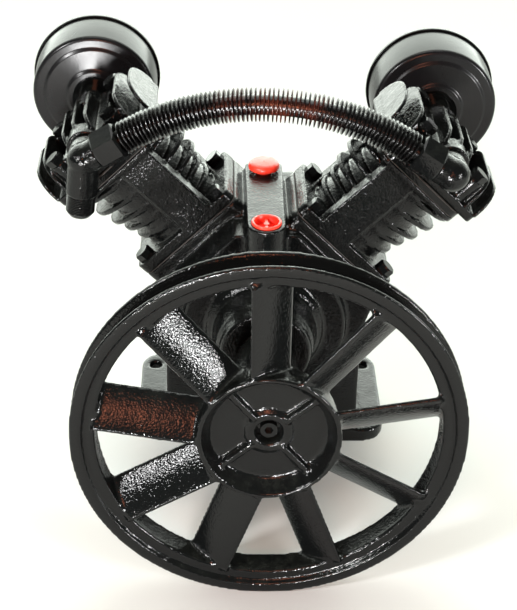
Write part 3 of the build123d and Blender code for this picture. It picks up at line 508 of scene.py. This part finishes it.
ARCH_R, ARCH_TOP = 0.213, 0.3185
PORT_X, PORT_Z = DIAGONAL * 0.206, AXIS_Z + DIAGONAL * 0.202
PIPE_LEFT_Y, PIPE_RIGHT_Y = -0.046, -0.068
run = Vector((2 * PORT_X, PIPE_RIGHT_Y - PIPE_LEFT_Y, 0)).normalized()
middle = Vector((0, (PIPE_LEFT_Y + PIPE_RIGHT_Y) / 2, 0))
half_span = sqrt(PORT_X**2 + ((PIPE_RIGHT_Y - PIPE_LEFT_Y) / 2) ** 2)
arch_z = ARCH_TOP - ARCH_R
straight = sqrt(half_span**2 + (PORT_Z - arch_z) ** 2 - ARCH_R**2)
half_turn = atan2(half_span, PORT_Z - arch_z) - atan2(straight, ARCH_R)


def on_pipe(distance):
    """A placing matrix on the pipe's line, local Z leading away from its top; right is positive."""
    side = 1 if distance > 0 else -1
    angle = min(abs(distance) / ARCH_R, half_turn)
    beyond = max(abs(distance) - ARCH_R * half_turn, 0.0)
    along = run * cos(angle) * side + Vector((0, 0, -sin(angle)))
    spot = middle + run * side * ARCH_R * sin(angle) + Vector((0, 0, arch_z + ARCH_R * cos(angle)))
    return Matrix.Translation(spot + along * beyond) @ along.to_track_quat("Z", "Y").to_matrix().to_4x4()


def painted_copper():
    """Black paint with copper-red painted near the pipe's top: partly copper through thin paint, partly a
    painted warm reflection.
    """
    material, tree, shader = new_material("painted_copper")
    place = object_place(tree)
    copper_and_sheen = spread(tree, noise(tree, place, 70.0, 3.0, 0.6), 0.42, 0.7, 0.0, 1.0)
    sideways = tree.nodes.new("ShaderNodeSeparateXYZ")
    tree.links.new(place, sideways.inputs[0])
    near_top = spread(tree, maths(tree, "ABSOLUTE", sideways.outputs["X"], 0.0), 0.02, 0.06, 1.0, 0.0)
    copper_and_sheen = maths(tree, "MULTIPLY", copper_and_sheen, near_top)
    # Copper-red near the top: copper through thin paint, and also a painted reflection of warm light
    colours = blend_colours(tree, copper_and_sheen, (0.004, 0.004, 0.004), (0.10, 0.022, 0.012))
    tree.links.new(colours, shader.inputs["Base Color"])
    tree.links.new(spread(tree, noise(tree, place, 300.0), 0.3, 0.7, 0.16, 0.3), shader.inputs["Roughness"])
    bump_from(tree, shader, noise(tree, place, 700.0), 0.0002)
    shader.inputs["IOR"].default_value = 1.45
    return material


copper_black = painted_copper()

PIPE_R, FIN_R, FIN_PITCH, FIN_COUNT = 0.008, 0.0135, 0.0034, 71
END_GAP, PIPE_STOPS = 0.022, 61
pipe_end = ARCH_R * half_turn + straight - END_GAP


def add_tube(bm, places, radii, segments=32):
    """A closed skin through circles on the given placing matrices."""
    loops = []
    for place, radius in zip(places, radii):
        ring = bmesh.ops.create_circle(bm, segments=segments, radius=radius, matrix=place)
        loops.append(list({edge for vert in ring["verts"] for edge in vert.link_edges}))
    for first, second in zip(loops, loops[1:]):
        bmesh.ops.bridge_loops(bm, edges=first + second)
    bmesh.ops.holes_fill(bm, edges=loops[0] + loops[-1], sides=segments)


# The tee's outlet ends in a male thread: ridges every 1.5 mm between the shoulder and chamfer
THREAD_START, THREAD_STEP, THREAD_STEPS, THREAD_ROOT, THREAD_DEPTH = 0.0302, 0.000375, 43, 0.0109, 0.0008
outlet_axis = Vector((-sin(radians(6)), 0, -cos(radians(6))))
outlet_turn = outlet_axis.to_track_quat("Z", "Y").to_matrix().to_4x4()
outlet_places, outlet_radii = [], []
for index in range(THREAD_STEPS):
    spot = Vector((-PORT_X, PIPE_LEFT_Y, PORT_Z)) + outlet_axis * (THREAD_START + index * THREAD_STEP)
    outlet_places.append(Matrix.Translation(spot) @ outlet_turn)
    outlet_radii.append(THREAD_ROOT + THREAD_DEPTH * abs(2 - index % 4) / 2)
thread_mesh = bmesh.new()
add_tube(thread_mesh, outlet_places, outlet_radii, 48)
bmesh.ops.recalc_face_normals(thread_mesh, faces=thread_mesh.faces)
thread = add_piece("discharge_tee_thread", thread_mesh, painted_steel)
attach(thread, "pump")

pipe_mesh = bmesh.new()
stops = [pipe_end * (2 * index / (PIPE_STOPS - 1) - 1) for index in range(PIPE_STOPS)]
add_tube(pipe_mesh, [on_pipe(stop) for stop in stops], [PIPE_R] * len(stops))
bmesh.ops.recalc_face_normals(pipe_mesh, faces=pipe_mesh.faces)
stand_for(add_piece("discharge_pipe_tube", pipe_mesh, copper_black),
          "pump", "painted_copper", "discharge_pipe")

FIN_TILT = 1.5             # degrees either way
random.seed(7)
fins_mesh = bmesh.new()
for index in range(-(FIN_COUNT // 2), FIN_COUNT // 2 + 1):
    place = on_pipe(index * FIN_PITCH)
    place = place @ Matrix.Rotation(radians(random.uniform(-FIN_TILT, FIN_TILT)), 4, "X")
    place = place @ Matrix.Rotation(radians(random.uniform(-FIN_TILT, FIN_TILT)), 4, "Y")
    tip = FIN_R * random.uniform(0.975, 1.0)
    steps = ((PIPE_R - 0.001, -0.0008), (tip - 0.0006, -0.00055), (tip, -0.0002), (tip, 0.0002),
             (tip - 0.0006, 0.00055), (PIPE_R - 0.001, 0.0008))
    places = [place @ Matrix.Translation((0, 0, z)) for _, z in steps]
    add_tube(fins_mesh, places, [radius for radius, _ in steps], 36)
bmesh.ops.recalc_face_normals(fins_mesh, faces=fins_mesh.faces)
stand_for(add_piece("discharge_pipe_fins", fins_mesh, copper_black), "pump", "painted_copper", "pipe_fins")

BRANCH, NUT_LENGTH, NUT_FLATS, NUT_CHAMFER = 0.014, 0.022, 0.028, 0.0016
start = ARCH_R * half_turn + straight - BRANCH
corner = NUT_FLATS / sqrt(3)
steps = ((NUT_FLATS * 0.47, 36, 0.0), (corner, 6, NUT_CHAMFER), (corner, 6, NUT_LENGTH - NUT_CHAMFER),
         (NUT_FLATS * 0.47, 36, NUT_LENGTH))
for name, side in SIDES.items():
    nut_mesh = bmesh.new()
    verts = []
    for radius, segments, z in steps:
        ring = bmesh.ops.create_circle(nut_mesh, segments=segments, radius=radius,
                                       matrix=on_pipe(side * (start - z)))
        verts += ring["verts"]
    bmesh.ops.convex_hull(nut_mesh, input=verts)
    stand_for(add_piece(f"{name}_pipe_nut_hexagon", nut_mesh, painted_steel, CRISP),
              "pump", "painted_fitting", f"{name}_pipe_nut")


# ---- Intake filters: pressed sheet-steel cans on short necks behind the heads ----
# A stepped front plate, a deep wall, a rear cap with a rolled lip, a paper element inside and
# one centre bolt. The sheet is smooth, so its enamel is more even than on the castings.
def add_turned(bm, centre, axis, profile, segments):
    """Spins a closed profile of (radius, distance along the axis) points about an axis."""
    axis = Vector(axis)
    verts = [bm.verts.new(centre + Vector((radius, 0, 0)) + axis * along) for radius, along in profile]
    edges = [bm.edges.new(pair) for pair in zip(verts, verts[1:] + verts[:1])]
    bmesh.ops.spin(bm, geom=verts + edges, cent=centre, axis=axis, angle=2 * pi, steps=segments,
                   use_merge=True)
    bmesh.ops.remove_doubles(bm, verts=bm.verts, dist=1e-6)
    bmesh.ops.recalc_face_normals(bm, faces=bm.faces)


ALONG_Y = (0, 1, 0)
sheet_black = enamel("sheet_black", grain=0.1, waviness=0.12, gloss=(0.2, 0.3), colour=(0.006, 0.006, 0.0065))
filter_paper = fibre("filter_paper", (0.5, 0.45, 0.34), (0.66, 0.62, 0.52), 0.8)
for name, side in SIDES.items():
    centre = Vector((side * PORT_X, -side * BANK_SHIFT, PORT_Z))
    can_mesh = bmesh.new()
    add_turned(can_mesh, centre, ALONG_Y, [
        (0.0080, 0.0640), (0.0215, 0.0640), (0.0225, 0.0644), (0.0235, 0.0654), (0.0250, 0.0660),
        (0.0405, 0.0660), (0.0415, 0.0663), (0.0430, 0.0677), (0.0440, 0.0680), (0.0490, 0.0680),
        (0.0508, 0.0686), (0.0521, 0.0700), (0.0526, 0.0720), (0.0535, 0.1100), (0.0520, 0.1100),
        (0.0511, 0.0722), (0.0495, 0.0702), (0.0430, 0.0698), (0.0405, 0.0680), (0.0240, 0.0678),
        (0.0210, 0.0660), (0.0080, 0.0658)], 96)
    stand_for(add_piece(f"{name}_filter_can_shell", can_mesh, sheet_black),
              "pump", "filter_enamel", f"{name}_filter_can")
    cap_mesh = bmesh.new()
    add_turned(cap_mesh, centre, ALONG_Y, [
        (0.0045, 0.1177), (0.0150, 0.1177), (0.0165, 0.1171), (0.0330, 0.1171), (0.0350, 0.1177),
        (0.0500, 0.1177), (0.0520, 0.1172), (0.0540, 0.1158), (0.0551, 0.1140), (0.0555, 0.1115),
        (0.0553, 0.1102), (0.0548, 0.1097), (0.0543, 0.1097), (0.0541, 0.1108), (0.0538, 0.1130),
        (0.0520, 0.1150), (0.0480, 0.1162), (0.0045, 0.1162)], 96)
    stand_for(add_piece(f"{name}_filter_cap_shell", cap_mesh, sheet_black),
              "pump", "filter_enamel", f"{name}_filter_cap")
    finish(painted_steel, f"{name}_filter_neck", f"{name}_filter_bolt")
    finish(filter_paper, f"{name}_filter_element")


# ---- Flywheel: one iron casting with a V-groove, a dished hub and nine pitched fan blades ----
# The blades' faces keep the coarse grain of the sand, so the gloss breaks into white sparks.
wheel_black = enamel("wheel_black", grain=1.8, waviness=0.3, gloss=(0.05, 0.11))
wheel_mesh = bmesh.new()
add_solid(wheel_mesh, "flywheel")
stand_for(add_casting("flywheel_casting", wheel_mesh, wheel_black, 0.00165, 3),
          "crank", "flywheel_enamel", "flywheel")
finish(painted_steel, "flywheel_washer", "flywheel_bolt")


# ---- Breather cap and oil filler plug: bright red moulded plastic ----
# The breather is a mushroom pushed into the plateau's hole. The filler plug is a dish with a
# raised rim and one finger rib across its floor, pushed into a hole in front of it.
def moulded_red():
    """Slightly cloudy red plastic with a soft moulded skin."""
    material, tree, shader = new_material("red_plastic")
    place = object_place(tree)
    cloudy = spread(tree, noise(tree, place, 140.0, 3.0), 0.3, 0.7, 0.0, 1.0)
    colours = blend_colours(tree, cloudy, (0.86, 0.035, 0.016), (0.95, 0.06, 0.03))
    tree.links.new(colours, shader.inputs["Base Color"])
    tree.links.new(spread(tree, cloudy, 0.0, 1.0, 0.28, 0.4), shader.inputs["Roughness"])
    bump_from(tree, shader, noise(tree, place, 500.0), 0.00008)
    shader.inputs["Subsurface Weight"].default_value = 0.15
    shader.inputs["Subsurface Radius"].default_value = (0.003, 0.0008, 0.0005)
    return material


red_plastic = moulded_red()
UPRIGHT = (0, 0, 1)
PLATEAU_Z, CAP_Y, PLUG_Y = 0.220, 0.026, -0.0675
cap_mesh = bmesh.new()
add_turned(cap_mesh, Vector((0, CAP_Y, PLATEAU_Z)), UPRIGHT, [
    (0.0005, 0.0090), (0.0090, 0.0088), (0.0112, 0.0083), (0.0125, 0.0072), (0.0131, 0.0058),
    (0.0132, 0.0040), (0.0130, 0.0031), (0.0122, 0.0030), (0.0069, 0.0030), (0.0069, -0.0140),
    (0.0040, -0.0140), (0.0040, 0.0020), (0.0005, 0.0020)], 72)
stand_for(add_piece("breather_cap_mushroom", cap_mesh, red_plastic),
          "breather", "red_plastic", "breather_cap")

RIB_MIDDLE = Vector((0, PLUG_Y, PLATEAU_Z - 0.0028))
plug_mesh = bmesh.new()
add_turned(plug_mesh, Vector((0, PLUG_Y, PLATEAU_Z)), UPRIGHT, [
    (0.0005, -0.0048), (0.0088, -0.0048), (0.0094, -0.0040), (0.0097, 0.0012), (0.0101, 0.0019),
    (0.0108, 0.0022), (0.0117, 0.0019), (0.0122, 0.0012), (0.0122, 0.0002), (0.0109, 0.0001),
    (0.0109, -0.0150), (0.0005, -0.0150)], 72)
rib = bmesh.ops.create_cube(plug_mesh, size=1.0, matrix=Matrix.Translation(RIB_MIDDLE))
bmesh.ops.scale(plug_mesh, vec=(0.0022, 0.0186, 0.0044), verts=rib["verts"],
                space=Matrix.Translation(-RIB_MIDDLE))
add_drum(plug_mesh, Matrix.Translation((0, PLUG_Y, PLATEAU_Z - 0.005)), 0.0026, 0.0048, 0.0022, 24)
stand_for(add_piece("filler_plug_dish", plug_mesh, red_plastic), "filler", "red_plastic", "filler_plug")
